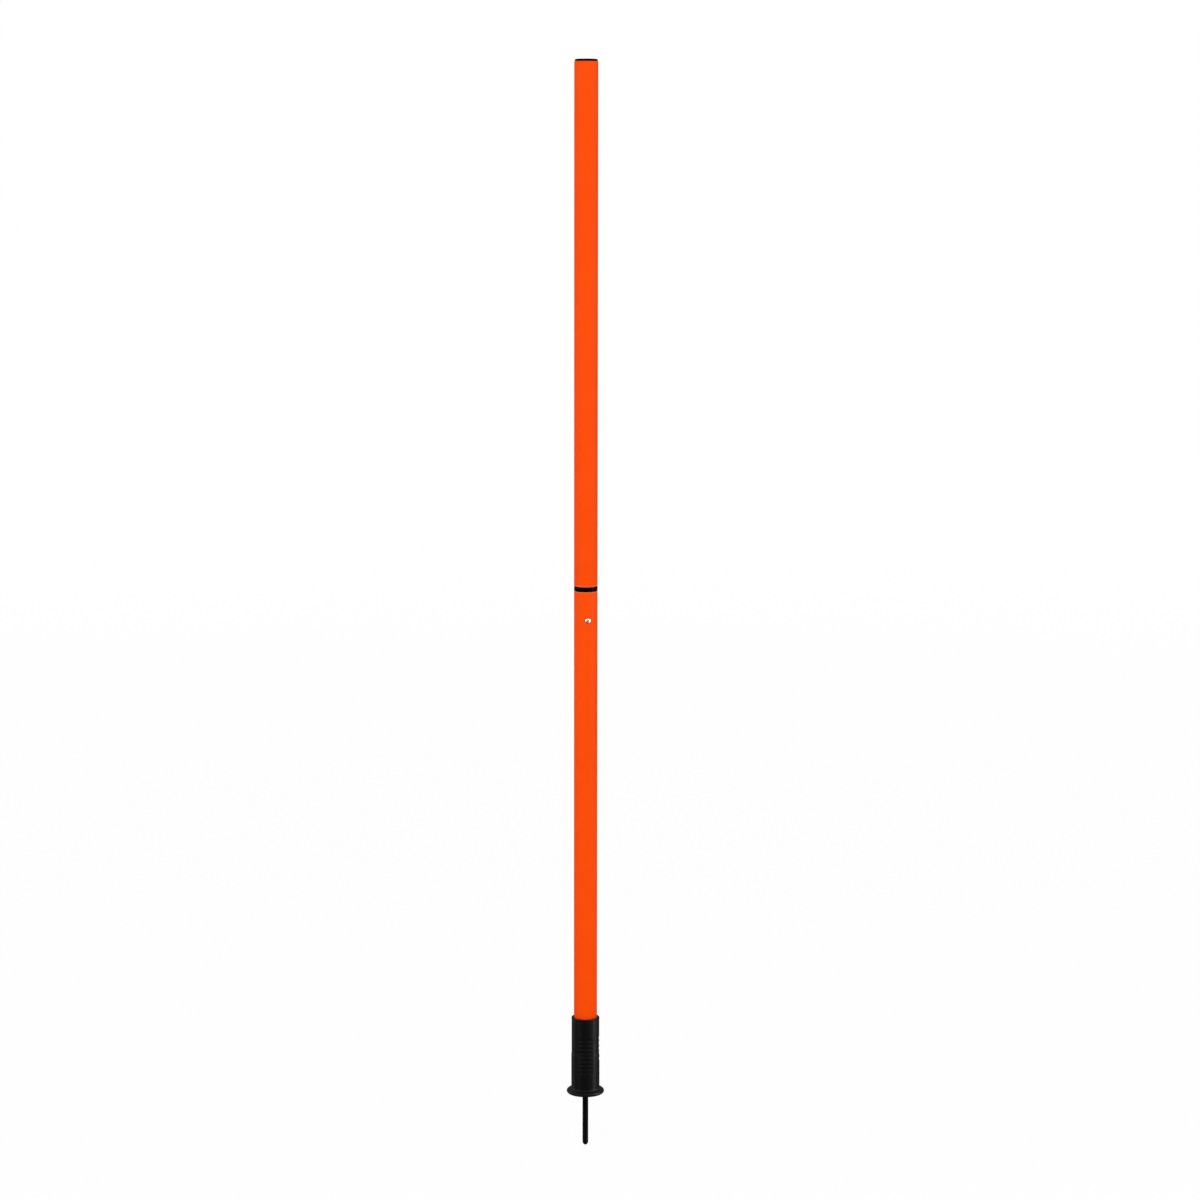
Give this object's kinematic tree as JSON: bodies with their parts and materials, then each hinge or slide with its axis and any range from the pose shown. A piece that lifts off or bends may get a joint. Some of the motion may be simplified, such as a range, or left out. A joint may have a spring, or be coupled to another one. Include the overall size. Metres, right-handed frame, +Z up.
{
  "type": "slalom pole",
  "caption": "Sectional slalom training pole joined by a snap button, on a sprung base inside a ribbed rubber boot with a round flange and a ground spike.",
  "frame": {"origin": "on the pole's axis at ground level, where the underside of the boot's flange meets the ground", "axes": "+Z up along the pole, spike towards -Z, front of the pole towards -Y, right of the front towards +X"},
  "size_m": [0.052, 0.052, 1.496],
  "materials": {
    "orange_plastic": "smooth extruded tube, satin",
    "black_plastic": "moulded, satin",
    "dark_nylon": "moulded, fine matt",
    "black_rubber": "moulded rubber with pressed ribs, matt",
    "black_steel": "black coated steel",
    "bright_steel": "polished",
    "plated_steel": "zinc plated",
    "spring_steel": "drawn spring wire and strip"
  },
  "bodies": {
    "base": {"ground_spike": "black_steel", "base_plate": "plated_steel", "lower_spring_seat": "dark_nylon", "flat_washer": "plated_steel", "lock_washer": "spring_steel", "spike_nut": "plated_steel", "rubber_boot": "black_rubber"},
    "spring": {"coil_spring": "spring_steel"},
    "pole": {"upper_spring_seat": "dark_nylon", "seat_screw_1": "plated_steel", "seat_screw_2": "plated_steel", "lower_tube": "orange_plastic", "joint_coupler": "black_plastic", "upper_tube": "orange_plastic", "top_cap": "black_plastic", "button_spring": "spring_steel"},
    "button": {"snap_button": "bright_steel"}
  },
  "joints": [
    {"name": "sway_sideways", "type": "hinge", "parent": "base", "child": "spring", "pos_m": [0, 0, 0.0347], "axis": [0, 1, 0], "range_deg": [-45, 45], "stiffness_Nm_per_rad": 18, "deforming": ["coil_spring", "rubber_boot"]},
    {"name": "sway_forward", "type": "hinge", "parent": "spring", "child": "pole", "pos_m": [0, 0, 0.06], "axis": [1, 0, 0], "range_deg": [-45, 45], "stiffness_Nm_per_rad": 18, "deforming": ["coil_spring", "rubber_boot"]},
    {"name": "button_press", "type": "slide", "parent": "pole", "child": "button", "axis": [-0.1564, 0.9877, 0], "range_m": [0, 0.0053], "stiffness_N_per_m": 800, "springref_m": -0.002, "deforming": ["button_spring"]}
  ]
}
